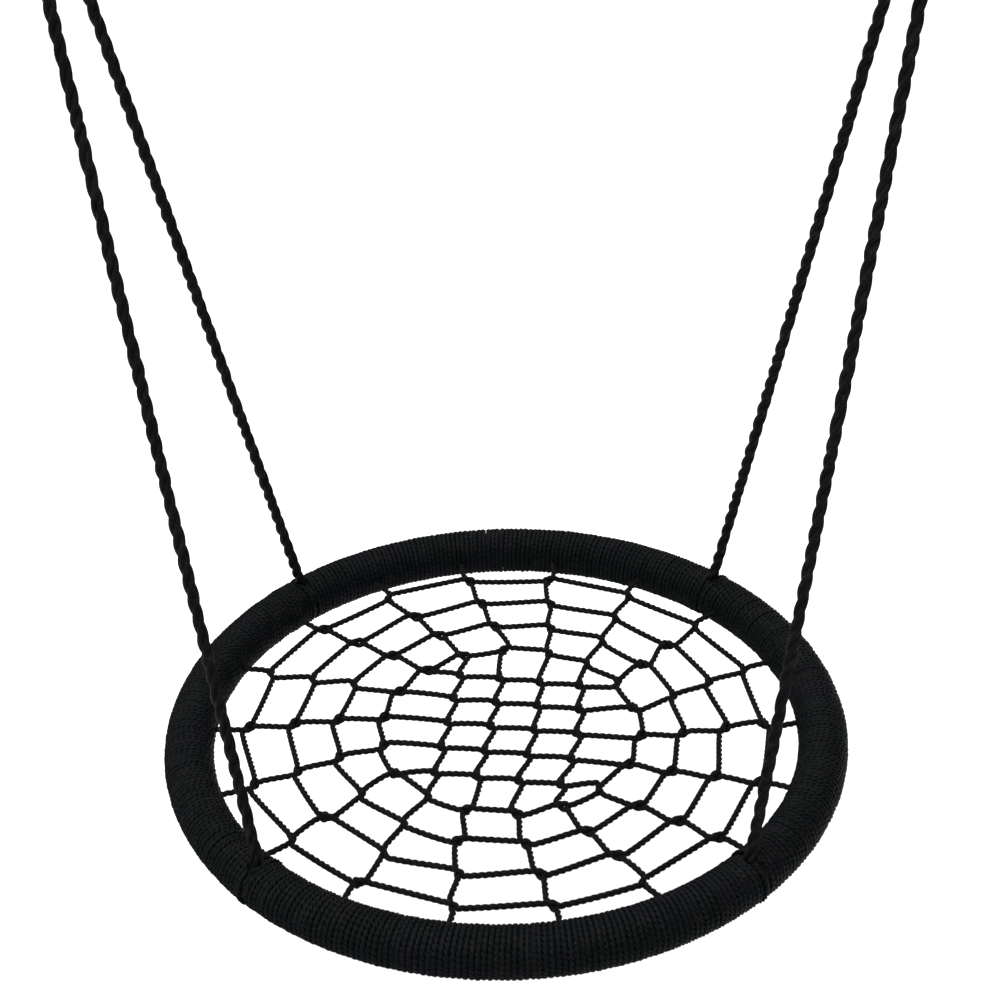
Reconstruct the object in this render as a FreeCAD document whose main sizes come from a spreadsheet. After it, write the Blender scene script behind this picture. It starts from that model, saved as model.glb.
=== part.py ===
"""Saucer nest swing: a round rope-wound rim with a knotted net, hung from two carabiners.

Millimetres, +Z up. X runs from the left hanger to the right hanger and -Y is the front.
The origin is midway between the two points where a beam's hooks carry the carabiners.
"""
import FreeCAD, Part
import Sketcher
import math
import os

from FreeCAD import Placement, Rotation, Vector

X_AXIS = Vector(1, 0, 0)
Y_AXIS = Vector(0, 1, 0)
Z_AXIS = Vector(0, 0, 1)

# Driving dimensions: alias, value, what it is.
DIMENSIONS = [
    ("rim_diameter", 1000, "outside of the wound rim"),
    ("hoop_tube_radius", 21, "steel hoop tube, outside"),
    ("hoop_tube_wall", 2, "steel hoop tube, wall"),
    ("foam_thickness", 8.3, "padding between the hoop and the winding"),
    ("winding_rope_diameter", 7, "rope wound round the rim"),
    ("spigot_length", 120, "inner sleeve that joins the two half hoops"),
    ("spigot_wall", 2.5, "wall of that sleeve"),
    ("fit_clearance", 0.1, "radial clearance of pieces that slide into each other"),
    ("free_clearance", 0.3, "clearance of pieces that lie beside each other"),
    ("seat_drop", 1585, "hook level down to the middle of the rim"),
    ("hook_spacing", 1146, "left hook to right hook"),
    ("attachment_angle", 45, "rope attachments, from the X axis"),
    ("hanging_rope_diameter", 16, "hanging ropes"),
    ("loop_side_room", 3, "room on each side of a rope loop, for the rope's slant"),
    ("splice_length", 95, "tapered splice below each rope's eye"),
    ("eye_length", 62, "middle of the thimble to the throat of the eye"),
    ("net_rope_diameter", 8, "net ropes"),
    ("knot_cover", 3, "seized knots of the net, over the thickness of a net rope"),
    ("column_spacing", 62, "net lines that run front to back, at the middle"),
    ("row_spacing", 58, "net lines that run left to right, at the middle"),
    ("grid_turn", -9.5, "turn of the middle grid about Z"),
    ("net_sag", 4, "how far the middle of the net hangs below the rim's middle"),
    ("ring_wire_diameter", 10, "round steel ring"),
    ("ring_inner_diameter", 70, "round steel ring"),
    ("thimble_turn", 22, "place of each thimble round the ring, from its lowest point"),
    ("thimble_bore_radius", 13, "round thimble"),
    ("thimble_width", 19, "round thimble"),
    ("thimble_lip_radius", 24, "round thimble"),
    ("thimble_rise", 4, "wire centre above the thimble's centre"),
    ("snap_wire_diameter", 10, "carabiner body"),
    ("snap_length", 100, "carabiner, outside"),
    ("snap_width", 50, "carabiner, outside"),
    ("nose_rise", 5, "end of the nose up to the top bow"),
    ("gate_length", 36, "gate pin to the gate's tip"),
    ("gate_slot_width", 4.6, "slots in both ends of the gate"),
    ("tab_thickness", 4, "tab and tongue of the carabiner body"),
    ("tab_radius", 4.2, "round end of the tab"),
    ("pin_diameter", 4, "gate pin"),
    ("gate_gap", 7, "gate pin to the shoulder below it"),
    ("spring_length", 12, "gate spring"),
    ("spring_radius", 1.8, "gate spring, middle of the wire"),
    ("spring_wire_diameter", 0.6, "gate spring"),
    ("spring_pitch", 1.5, "gate spring"),
]

# The net's four ring ropes, inner one first: radius, turn about Z and shift along X.
NET_RINGS = [(191, -7.6, 6), (255, -4.6, 3), (318, -2, 2), (382, -0.5, 0)]
COLUMN_COUNT = 4
ROW_COUNT = 5
SIDES = (("left", -1), ("right", 1))
ENDS = (("front", -1), ("back", 1))

doc = FreeCAD.newDocument("saucer_nest_swing")
sheet = doc.addObject("Spreadsheet::Sheet", "Sizes")
for line, (alias, value, meaning) in enumerate(DIMENSIONS, start=1):
    sheet.set(f"A{line}", meaning)
    sheet.set(f"B{line}", str(value))
    sheet.setAlias(f"B{line}", alias)
doc.recompute()

sub_parts = []


def size(alias):
    """The value of one driving dimension."""
    return float(sheet.get(alias))


def cells(formula):
    """Turn a formula's {alias} words into references to the sheet."""
    return formula.replace("{", "Sizes.").replace("}", "")


def bind(thing, **formulas):
    """Tie properties to the sheet. Two underscores in a name stand for a dot."""
    for prop, formula in formulas.items():
        thing.setExpression(prop.replace("__", "."), cells(formula))


def keep(thing, label, place=None):
    """Make an object one of the sub-parts, under the name of its file."""
    thing.Label = label
    if place is not None:
        thing.Placement = place
    sub_parts.append(thing)
    return thing


# ---------------------------------------------------------------- shared sizes

SECTION_RADIUS = "({hoop_tube_radius} + {foam_thickness} + {winding_rope_diameter})"
RIM_RADIUS = f"({{rim_diameter}} / 2 - {SECTION_RADIUS})"

hoop_radius = size("hoop_tube_radius")
foam_radius = hoop_radius + size("foam_thickness")
section_radius = foam_radius + size("winding_rope_diameter")
rim_radius = size("rim_diameter") / 2 - section_radius
rim_level = -size("seat_drop")
rope_radius = size("hanging_rope_diameter") / 2
net_rope_radius = size("net_rope_diameter") / 2
knot_radius = size("net_rope_diameter") + size("knot_cover")
fit = size("fit_clearance")
free = size("free_clearance")
loop_radius = hoop_radius + rope_radius + fit
hitch_radius = hoop_radius + net_rope_radius + fit


def polar(radius, degrees, level=0.0):
    """A point at a radius and an angle about Z."""
    angle = math.radians(degrees)
    return Vector(radius * math.cos(angle), radius * math.sin(angle), level)


def attachment_degrees(side, end):
    """The angle about Z of one rope attachment."""
    across = size("attachment_angle")
    return math.degrees(math.atan2(end * math.sin(math.radians(across)),
                                   side * math.cos(math.radians(across))))


def attachment(side, end):
    """The top of the rope loop round the hoop, at the middle of its rope."""
    return polar(rim_radius, attachment_degrees(side, end), rim_level + loop_radius)


# ---------------------------------------------------------------- hanger layout

snap_wire = size("snap_wire_diameter") / 2
snap_half_width = size("snap_width") / 2 - snap_wire
bow_span = size("snap_length") - size("snap_width")
ring_wire = size("ring_wire_diameter") / 2
ring_radius = size("ring_inner_diameter") / 2 + ring_wire
snap_inner_length = size("snap_length") - 4 * snap_wire
pivot_depth = snap_inner_length + snap_wire
ring_depth = pivot_depth - snap_wire - free - ring_wire + ring_radius


def hook_point(side):
    """Where the beam's hook carries the carabiner, inside its top bow."""
    return Vector(side * size("hook_spacing") / 2, 0, 0)


def load_line(side):
    """The direction from the hook to the middle of that side's two attachments."""
    middle = (attachment(side, -1) + attachment(side, 1)) * 0.5
    return (middle - hook_point(side)).normalize()


def hanger_turn(side):
    """Turns local -Z to the load line, with the gates facing the middle of the swing."""
    line = load_line(side)
    lean = math.degrees(math.atan2(line.x, -line.z))
    face = Rotation(Z_AXIS, 0 if side < 0 else 180)
    return Rotation(Y_AXIS, -lean).multiply(face)


def on_load_line(side, depth):
    """A point that far below the hook along the load line."""
    return hook_point(side) + load_line(side) * depth


def wire_point(side, end):
    """Where one thimble sits, at the middle of the round ring's wire."""
    turn = math.radians(size("thimble_turn"))
    down = ring_depth + ring_radius * math.cos(turn)
    return on_load_line(side, down) + Y_AXIS * (end * ring_radius * math.sin(turn))


def rope_line(side, end):
    """The direction of one hanging rope, from the ring down to the rim."""
    return (attachment(side, end) - wire_point(side, end)).normalize()


def thimble_centre(side, end):
    """The middle of one thimble, just below the wire that carries it."""
    return wire_point(side, end) + rope_line(side, end) * size("thimble_rise")


def along_rope(side, end, distance):
    """A point on a rope's line, measured down from the middle of its thimble."""
    return thimble_centre(side, end) + rope_line(side, end) * distance


def rope_turn(side, end):
    """Local -Z along the rope, local Y along the thimble's bore."""
    down = rope_line(side, end)
    bore = Y_AXIS - down * down.dot(Y_AXIS)
    bore.normalize()
    return Rotation(bore.cross(down * -1), bore, down * -1, "ZXY")


# ---------------------------------------------------------------- sketch helpers

def origin_plane(body, role):
    """One of a body's own origin planes."""
    for feature in body.Origin.OriginFeatures:
        if feature.Role == role:
            return feature
    raise RuntimeError(f"{body.Label} has no {role}")


def new_body(name):
    """An empty PartDesign body."""
    return doc.addObject("PartDesign::Body", name)


def new_sketch(body, name, role, height=None):
    """A sketch on an origin plane, raised off it by a formula where one is given."""
    sketch = body.newObject("Sketcher::SketchObject", name)
    sketch.AttachmentSupport = (origin_plane(body, role), [""])
    sketch.MapMode = "FlatFace"
    if height is not None:
        bind(sketch, AttachmentOffset__Base__z=height)
    return sketch


def circle(sketch, centre_x, centre_y, radius):
    """A circle held by three formulas: its centre's two coordinates and its radius."""
    index = sketch.addGeometry(Part.Circle(Vector(10, 10, 0), Z_AXIS, 1), False)
    place_point(sketch, index, 3, centre_x, centre_y)
    number = sketch.addConstraint(Sketcher.Constraint("Radius", index, 1))
    bind(sketch, **{f"Constraints[{number}]": radius})
    return index


def place_point(sketch, index, point, along, up):
    """Hold one point of a sketch's geometry by formulas for its two coordinates."""
    for kind, formula in (("DistanceX", along), ("DistanceY", up)):
        if formula is not None:
            place = sketch.getPoint(index, point)
            value = place.x if kind == "DistanceX" else place.y
            number = sketch.addConstraint(
                Sketcher.Constraint(kind, -1, 1, index, point, value))
            bind(sketch, **{f"Constraints[{number}]": formula})


def rectangle(sketch, low_x, high_x, low_y, high_y):
    """A rectangle whose four sides are placed by formulas."""
    corners = [Vector(1, 1, 0), Vector(9, 1, 0), Vector(9, 9, 0), Vector(1, 9, 0)]
    first = None
    for start, finish in zip(corners, corners[1:] + corners[:1]):
        index = sketch.addGeometry(Part.LineSegment(start, finish), False)
        first = index if first is None else first
    for step in range(4):
        sketch.addConstraint(Sketcher.Constraint(
            "Coincident", first + step, 2, first + (step + 1) % 4, 1))
    for step, kind in enumerate(("Horizontal", "Vertical", "Horizontal", "Vertical")):
        sketch.addConstraint(Sketcher.Constraint(kind, first + step))
    place_point(sketch, first, 1, low_x, low_y)
    place_point(sketch, first + 2, 1, high_x, high_y)


def feature(body, kind, name, profile, **formulas):
    """A PartDesign feature on a sketch, with its own formulas."""
    made = body.newObject(f"PartDesign::{kind}", name)
    made.Profile = profile
    bind(made, **formulas)
    return made


# ---------------------------------------------------------------- rim

def tube_sector(name, outer, inner, start, sweep):
    """A stretch of tube bent round the rim's circle: a ring section turned about Z."""
    body = new_body(name)
    sketch = new_sketch(body, name + "_section", "XZ_Plane")
    circle(sketch, RIM_RADIUS, "0 mm", outer)
    circle(sketch, RIM_RADIUS, "0 mm", inner)
    turned = body.newObject("PartDesign::Revolution", name + "_turn")
    turned.Profile = sketch
    turned.ReferenceAxis = (sketch, ["V_Axis"])
    turned.Angle = sweep
    body.Placement = Placement(Vector(0, 0, rim_level), Rotation(Z_AXIS, start))
    return body


def hoop_halves():
    """Two half hoops of steel tube, and the inner sleeves that join them."""
    for name, start in (("hoop_left", 90), ("hoop_right", 270)):
        half = tube_sector(name, "{hoop_tube_radius}",
                           "{hoop_tube_radius} - {hoop_tube_wall}", start, 180)
        keep(half, name)
    sweep = math.degrees(size("spigot_length") / rim_radius)
    bore = "{hoop_tube_radius} - {hoop_tube_wall} - {fit_clearance}"
    for end_name, end in ENDS:
        name = f"hoop_spigot_{end_name}"
        spigot = tube_sector(name, bore, bore + " - {spigot_wall}", end * 90 - sweep / 2, sweep)
        keep(spigot, name)


def net_line_degrees():
    """The eighteen angles about Z at which the net's lines reach the rim."""
    count = 2 * (COLUMN_COUNT + ROW_COUNT)
    return [360 / count * step for step in range(count)]


def around_hoop(name, radius, thickness, degrees):
    """A rope ring round the hoop's tube, at one angle about Z."""
    ring = doc.addObject("Part::Torus", name)
    bind(ring, Radius1=radius, Radius2=thickness)
    across = Rotation(Z_AXIS, degrees).multiply(Rotation(X_AXIS, 90))
    ring.Placement = Placement(polar(rim_radius, degrees, rim_level), across)
    return ring


def line_hole(name, degrees):
    """The way that a net line takes from its outermost knot to the hoop."""
    hole = doc.addObject("Part::Cylinder", name)
    bind(hole, Radius="{net_rope_diameter} / 2 + {free_clearance}", Height=SECTION_RADIUS)
    inward = ring_point(len(NET_RINGS) - 1, degrees) - rim_point(degrees)
    hole.Placement = Placement(rim_point(degrees), Rotation(Z_AXIS, inward))
    return hole


HITCH_RADIUS = "{hoop_tube_radius} + {net_rope_diameter} / 2 + {fit_clearance}"


def rim_covers():
    """Four foam sleeves and four stretches of winding, between the rope attachments."""
    gap = math.degrees((rope_radius + size("loop_side_room")) / (rim_radius - section_radius))
    stations = sorted(attachment_degrees(side, end) % 360 for _, side in SIDES for _, end in ENDS)
    names = ("back", "left", "front", "right")
    for name, start, finish in zip(names, stations, stations[1:] + [stations[0] + 360]):
        lines = [angle for turn in (0, 360) for angle in net_line_degrees()
                 if start < angle + turn < finish]
        first, sweep = start + gap, finish - start - 2 * gap
        foam = tube_sector(f"foam_{name}_blank", "{hoop_tube_radius} + {foam_thickness}",
                           "{hoop_tube_radius} + {fit_clearance}", first, sweep)
        winding = tube_sector(f"winding_{name}_blank", SECTION_RADIUS,
                              "{hoop_tube_radius} + {foam_thickness}", first, sweep)
        holes = doc.addObject("Part::MultiFuse", f"line_holes_{name}")
        holes.Shapes = [line_hole(f"line_hole_{name}_{number}", angle)
                        for number, angle in enumerate(lines)]
        grooves = doc.addObject("Part::MultiFuse", f"hitch_grooves_{name}")
        grooves.Shapes = [holes] + [
            around_hoop(f"hitch_groove_{name}_{number}", HITCH_RADIUS,
                        "{net_rope_diameter} / 2 + {fit_clearance}", angle)
            for number, angle in enumerate(lines)]
        for label, blank, tool in (("foam_sleeve", foam, grooves), ("rim_winding", winding, holes)):
            cut = doc.addObject("Part::Cut", f"{label}_{name}")
            cut.Base = blank
            cut.Tool = tool
            keep(cut, f"{label}_{name}")


# ---------------------------------------------------------------- net

def grid_point(column, row):
    """A crossing of the middle grid. Column 0 is the left one and row 0 the back one."""
    across = (column - (COLUMN_COUNT - 1) / 2) * size("column_spacing")
    along = ((ROW_COUNT - 1) / 2 - row) * size("row_spacing")
    turned = Rotation(Z_AXIS, size("grid_turn")).multVec(Vector(across, along, 0))
    shift = NET_RINGS[0][2]
    return turned + Vector(shift, 0, rim_level - size("net_sag"))


def ring_point(ring, degrees):
    """A knot of one ring rope, on the net line that reaches the rim at that angle."""
    radius, turn, shift = NET_RINGS[ring]
    sag = size("net_sag") * (1 - radius / rim_radius)
    return polar(radius, degrees + turn, rim_level - sag) + Vector(shift, 0, 0)


def rim_point(degrees):
    """Where a net line meets its hitch, at the inner side of the hoop."""
    return polar(rim_radius - hitch_radius - net_rope_radius, degrees, rim_level)


def fan(degrees):
    """The knots of a net line from the inner ring out to the rim."""
    return [ring_point(ring, degrees) for ring in range(len(NET_RINGS))] + [rim_point(degrees)]


def net_lines():
    """Every net line as its name and its knots, from one side of the rim to the other."""
    step = 360 / (2 * (COLUMN_COUNT + ROW_COUNT))
    lines = []
    for column in range(COLUMN_COUNT):
        spread = (column - (COLUMN_COUNT - 1) / 2) * step
        middle = [grid_point(column, row) for row in range(ROW_COUNT)]
        points = fan(90 - spread)[::-1] + middle + fan(270 + spread)
        lines.append((f"net_column_{column + 1}", points))
    for row in range(ROW_COUNT):
        spread = ((ROW_COUNT - 1) / 2 - row) * step
        middle = [grid_point(column, row) for column in range(COLUMN_COUNT)]
        points = fan(180 - spread)[::-1] + middle + fan(spread)
        lines.append((f"net_row_{row + 1}", points))
    return lines


def rod(start, finish, radius):
    """A plain round bar between two points."""
    run = finish - start
    return Part.makeCylinder(radius, run.Length, start, run)


def rope_runs(points, open_ends):
    """One bar between each two knots. A bar stops short of a knot, but not at an open end."""
    back_off = knot_radius - free
    bars = []
    last = len(points) - 2
    for index, (start, finish) in enumerate(zip(points, points[1:])):
        step = (finish - start).normalize() * back_off
        first = start if open_ends and index == 0 else start + step
        second = finish if open_ends and index == last else finish - step
        bars.append(rod(first, second, net_rope_radius))
    return bars


def solids(label, shapes):
    """A sub-part that is a group of separate solids."""
    group = doc.addObject("Part::Feature", label)
    group.Shape = Part.makeCompound(shapes)
    return keep(group, label)


def net():
    """The net's nine lines, four ring ropes, knots and the hitches under the padding."""
    knots = []
    for name, points in net_lines():
        solids(name, rope_runs(points, True))
        if name.startswith("net_column"):
            knots += [point for point in points[1:-1]]
        else:
            inner = len(NET_RINGS)
            knots += points[1:1 + inner] + points[-1 - inner:-1]
    for ring in range(len(NET_RINGS)):
        points = [ring_point(ring, angle) for angle in net_line_degrees()]
        solids(f"net_ring_{ring + 1}", rope_runs(points + points[:1], False))
    solids("net_knots", [Part.makeSphere(knot_radius, point) for point in knots])
    hitches = []
    for angle in net_line_degrees():
        ring = Part.makeTorus(hitch_radius, net_rope_radius)
        ring.Placement = Placement(polar(rim_radius, angle, rim_level),
                                   Rotation(Z_AXIS, angle).multiply(Rotation(X_AXIS, 90)))
        hitches.append(ring)
    solids("net_hitches", hitches)


# ---------------------------------------------------------------- hanging ropes

EYE_ROPE_RADIUS = "({thimble_lip_radius} + {free_clearance})"


def thimble(name, place):
    """A round grooved thimble: a turned bush with a rope groove."""
    body = new_body(name)
    blank = new_sketch(body, name + "_blank", "XZ_Plane")
    rectangle(blank, "{thimble_bore_radius}", "{thimble_lip_radius}",
              "-{thimble_width} / 2", "{thimble_width} / 2")
    turned = feature(body, "Revolution", name + "_turn", blank)
    turned.ReferenceAxis = (blank, ["V_Axis"])
    turned.Angle = 360
    groove = new_sketch(body, name + "_groove_section", "XZ_Plane")
    circle(groove, EYE_ROPE_RADIUS, "0 mm", "{hanging_rope_diameter} / 2 + {fit_clearance}")
    cut = feature(body, "Groove", name + "_groove", groove)
    cut.ReferenceAxis = (groove, ["V_Axis"])
    cut.Angle = 360
    return keep(body, name, place)


def rope_eye(name, place):
    """The loop of rope round a thimble, in the local XZ plane, open at its throat."""
    bend = size("thimble_lip_radius") + free
    leg = rope_radius + free
    depth = size("eye_length")
    reach = math.hypot(depth, leg)
    rise = math.asin(bend / reach) - math.atan2(leg, depth)
    touch = Vector(bend * math.cos(rise), 0, bend * math.sin(rise) * -1)
    throat = Vector(leg, 0, -depth)
    mirrored = (Vector(-touch.x, 0, touch.z), Vector(-throat.x, 0, throat.z))
    path = Part.Wire([
        Part.LineSegment(throat, touch).toShape(),
        Part.Arc(touch, Vector(0, 0, bend), mirrored[0]).toShape(),
        Part.LineSegment(mirrored[0], mirrored[1]).toShape(),
    ])
    section = Part.Wire([Part.makeCircle(rope_radius, throat, touch - throat)])
    eye = doc.addObject("Part::Feature", name)
    eye.Shape = path.makePipeShell([section], True, True)
    return keep(eye, name, place)


def hanging_ropes():
    """Each rope: a loop round the hoop, the taut run, its splice and its eye on a thimble."""
    for end_name, end in ENDS:
        for side_name, side in SIDES:
            tag = f"{end_name}_{side_name}"
            turn = rope_turn(side, end)
            down = rope_line(side, end)
            centre = thimble_centre(side, end)
            upright = Rotation(X_AXIS, 90)
            thimble(f"thimble_{tag}", Placement(centre, turn.multiply(upright)))
            rope_eye(f"rope_eye_{tag}", Placement(centre, turn))

            splice = doc.addObject("Part::Cone", f"splice_{tag}")
            bind(splice, Radius1="{hanging_rope_diameter} + {free_clearance}",
                 Radius2="{hanging_rope_diameter} / 2 + {free_clearance}",
                 Height="{splice_length}")
            throat = along_rope(side, end, size("eye_length") + free)
            facing = turn.multiply(Rotation(X_AXIS, 180))
            keep(splice, f"splice_{tag}", Placement(throat, facing))

            top = along_rope(side, end, size("eye_length") + size("splice_length") + free)
            foot = attachment(side, end) - down * (rope_radius + free)
            rope = doc.addObject("Part::Feature", f"hanging_rope_{tag}")
            rope.Shape = rod(top, foot, rope_radius)
            keep(rope, f"hanging_rope_{tag}")

            degrees = attachment_degrees(side, end)
            loop = around_hoop(f"rim_loop_{tag}",
                               "{hoop_tube_radius} + {hanging_rope_diameter} / 2 + {fit_clearance}",
                               "{hanging_rope_diameter} / 2", degrees)
            keep(loop, f"rim_loop_{tag}")


# ---------------------------------------------------------------- hangers

# The carabiner's own frame: local Z = 0 at the end of its nose, X to the gate side.
SNAP_X = "({snap_width} - {snap_wire_diameter}) / 2"
BOW_LOW = "{nose_rise} - ({snap_length} - {snap_width})"
SHOULDER = "-{gate_length} - {gate_gap}"

hinge_level = -size("gate_length")


def snap_place(side):
    """The carabiner hangs with the inside of its top bow at the hook point."""
    hook = Placement(hook_point(side), hanger_turn(side))
    top_inside = size("nose_rise") + snap_half_width - snap_wire
    return hook.multiply(Placement(Vector(0, 0, -top_inside), Rotation()))


def line_end(sketch, index, point):
    """The first or second end of a line in a sketch."""
    line = sketch.Geometry[index]
    return line.StartPoint if point == 1 else line.EndPoint


def snap_body(name, place):
    """Bent wire body with a tongue at its nose and a drilled tab at its hinge."""
    body = new_body(name)
    route = new_sketch(body, name + "_route", "XZ_Plane")
    half = snap_half_width
    rise = size("nose_rise")
    low = rise - bow_span
    corners = [Vector(half, 0, 0), Vector(half, rise, 0), Vector(-half, rise, 0),
               Vector(-half, low, 0), Vector(half, low, 0),
               Vector(half, hinge_level - size("gate_gap"), 0)]
    bows = {1: Vector(0, rise + half, 0), 3: Vector(0, low - half, 0)}
    for step in range(5):
        start, finish = corners[step], corners[step + 1]
        if step in bows:
            route.addGeometry(Part.Arc(start, bows[step], finish), False)
        else:
            route.addGeometry(Part.LineSegment(start, finish), False)
    for arc, joins in {1: ((0, 2), (2, 1)), 3: ((2, 2), (4, 1))}.items():
        for index, point in joins:
            away = route.Geometry[arc].StartPoint - line_end(route, index, point)
            end = 1 if away.Length < snap_wire else 2
            route.addConstraint(Sketcher.Constraint("Coincident", arc, end, index, point))
    left = "-" + SNAP_X
    holds = ((0, 1, SNAP_X, "0 mm"), (0, 2, SNAP_X, "{nose_rise}"),
             (1, 3, None, "{nose_rise}"), (2, 1, left, "{nose_rise}"),
             (2, 2, left, BOW_LOW), (3, 3, None, BOW_LOW),
             (4, 1, SNAP_X, BOW_LOW), (4, 2, SNAP_X, SHOULDER))
    for index, point, along, up in holds:
        place_point(route, index, point, along, up)
    section = new_sketch(body, name + "_section", "XY_Plane")
    circle(section, SNAP_X, "0 mm", "{snap_wire_diameter} / 2")
    bend = body.newObject("PartDesign::AdditivePipe", name + "_bend")
    bend.Profile = section
    bend.Spine = (route, [f"Edge{number}" for number in range(1, 6)])
    doc.recompute()

    tongue = new_sketch(body, name + "_tongue_section", "XY_Plane")
    rectangle(tongue, SNAP_X + " - {snap_wire_diameter} * 0.3",
              SNAP_X + " + {snap_wire_diameter} * 0.3",
              "-{tab_thickness} / 2", "{tab_thickness} / 2")
    nose = feature(body, "Pad", name + "_tongue", tongue, Length="{gate_gap}")
    nose.Reversed = True

    tab = new_sketch(body, name + "_tab_outline", "XZ_Plane")
    circle(tab, SNAP_X, "-{gate_length}", "{tab_radius}")
    round_end = feature(body, "Pad", name + "_tab_end", tab, Length="{tab_thickness}")
    round_end.Midplane = True
    stem = new_sketch(body, name + "_stem_outline", "XZ_Plane")
    rectangle(stem, SNAP_X + " - {tab_radius}", SNAP_X + " + {tab_radius}",
              SHOULDER + " - 1", "-{gate_length}")
    stem_pad = feature(body, "Pad", name + "_stem", stem, Length="{tab_thickness}")
    stem_pad.Midplane = True
    doc.recompute()

    hole = new_sketch(body, name + "_hole_outline", "XZ_Plane")
    circle(hole, SNAP_X, "-{gate_length}", "{pin_diameter} / 2 + {fit_clearance}")
    drilled = feature(body, "Pocket", name + "_hole", hole)
    drilled.Type = "ThroughAll"
    drilled.Midplane = True
    return keep(body, name, place)


def snap_gate(name, place):
    """Straight gate on a cross pin, slotted at both ends, with a bore for its spring."""
    body = new_body(name)
    bar = new_sketch(body, name + "_bar_section", "XY_Plane", "-{snap_wire_diameter} / 2")
    circle(bar, "0 mm", "0 mm", "{snap_wire_diameter} / 2")
    feature(body, "Pad", name + "_bar", bar,
            Length="{gate_length} + {snap_wire_diameter} / 2 - {free_clearance}")
    doc.recompute()
    slots = new_sketch(body, name + "_slots_outline", "YZ_Plane")
    half_slot = "{gate_slot_width} / 2"
    rectangle(slots, "-" + half_slot, half_slot,
              "-{snap_wire_diameter}", "{tab_radius} + {free_clearance}")
    rectangle(slots, "-" + half_slot, half_slot,
              "{gate_length} - {gate_gap} - 1", "{gate_length} + 2")
    slotted = feature(body, "Pocket", name + "_slots", slots)
    slotted.Type = "ThroughAll"
    slotted.Midplane = True
    doc.recompute()
    hole = new_sketch(body, name + "_hole_outline", "XZ_Plane")
    circle(hole, "0 mm", "0 mm", "{pin_diameter} / 2")
    drilled = feature(body, "Pocket", name + "_hole", hole)
    drilled.Type = "ThroughAll"
    drilled.Midplane = True
    doc.recompute()
    well = new_sketch(body, name + "_well_section", "XY_Plane")
    circle(well, "0 mm", "0 mm",
           "{spring_radius} + {spring_wire_diameter} / 2 + {free_clearance}")
    bore = feature(body, "Pocket", name + "_well", well,
                   Length="{tab_radius} + {spring_length} + 3 * {free_clearance}")
    bore.Reversed = True
    return keep(body, name, place)


def gate_spring(name, place):
    """Compression spring in the gate's bore."""
    wire = size("spring_wire_diameter") / 2
    coil = Part.makeHelix(size("spring_pitch"), size("spring_length") - 2 * wire,
                          size("spring_radius"))
    start = Vector(size("spring_radius"), 0, 0)
    section = Part.Wire([Part.makeCircle(wire, start, Y_AXIS)])
    spring = doc.addObject("Part::Feature", name)
    spring.Shape = Part.Wire(coil).makePipeShell([section], True, True)
    return keep(spring, name, place)


def hangers():
    """On each side a carabiner with its gate, and the round ring that hangs in it."""
    spring_level = size("tab_radius") + 2 * free + size("spring_wire_diameter") / 2
    for side_name, side in SIDES:
        snap = snap_place(side)
        hinge = snap.multiply(Placement(Vector(snap_half_width, 0, hinge_level), Rotation()))
        snap_body(f"carabiner_{side_name}", snap)
        snap_gate(f"gate_{side_name}", hinge)
        pin = doc.addObject("Part::Cylinder", f"gate_pin_{side_name}")
        bind(pin, Radius="{pin_diameter} / 2 - {fit_clearance} / 2", Height="{snap_wire_diameter}")
        across = Placement(Vector(0, snap_wire, 0), Rotation(X_AXIS, 90))
        keep(pin, f"gate_pin_{side_name}", hinge.multiply(across))
        inside = Placement(Vector(0, 0, spring_level), Rotation())
        gate_spring(f"gate_spring_{side_name}", hinge.multiply(inside))

        ring = doc.addObject("Part::Torus", f"hanging_ring_{side_name}")
        bind(ring, Radius1="({ring_inner_diameter} + {ring_wire_diameter}) / 2",
             Radius2="{ring_wire_diameter} / 2")
        flat = hanger_turn(side).multiply(Rotation(Y_AXIS, 90))
        keep(ring, f"hanging_ring_{side_name}", Placement(on_load_line(side, ring_depth), flat))


# ---------------------------------------------------------------- build and write

hoop_halves()
rim_covers()
net()
hanging_ropes()
hangers()
doc.recompute()

for thing in doc.Objects:
    if "Invalid" in thing.State or "Error" in thing.State:
        raise RuntimeError(f"{thing.Label} did not build: {thing.State}")
for part in sub_parts:
    if part.Shape.isNull() or not part.Shape.isValid() or not part.Shape.Solids:
        raise RuntimeError(f"{part.Label} has no valid shape")

os.makedirs("parts", exist_ok=True)
for part in sub_parts:
    part.Shape.exportStep(f"parts/{part.Label}.step")

print(len(sub_parts), "sub-parts")
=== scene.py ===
"""Saucer nest swing: its ropes, wound rim, net and finishes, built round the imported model.

Metres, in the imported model's frame: the origin is midway between the two hooks, +Z up,
X from the left hanger to the right hanger, and -Y is the front.
"""

import math
import random

import bpy
import numpy as np
from mathutils import Matrix, Vector


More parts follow.
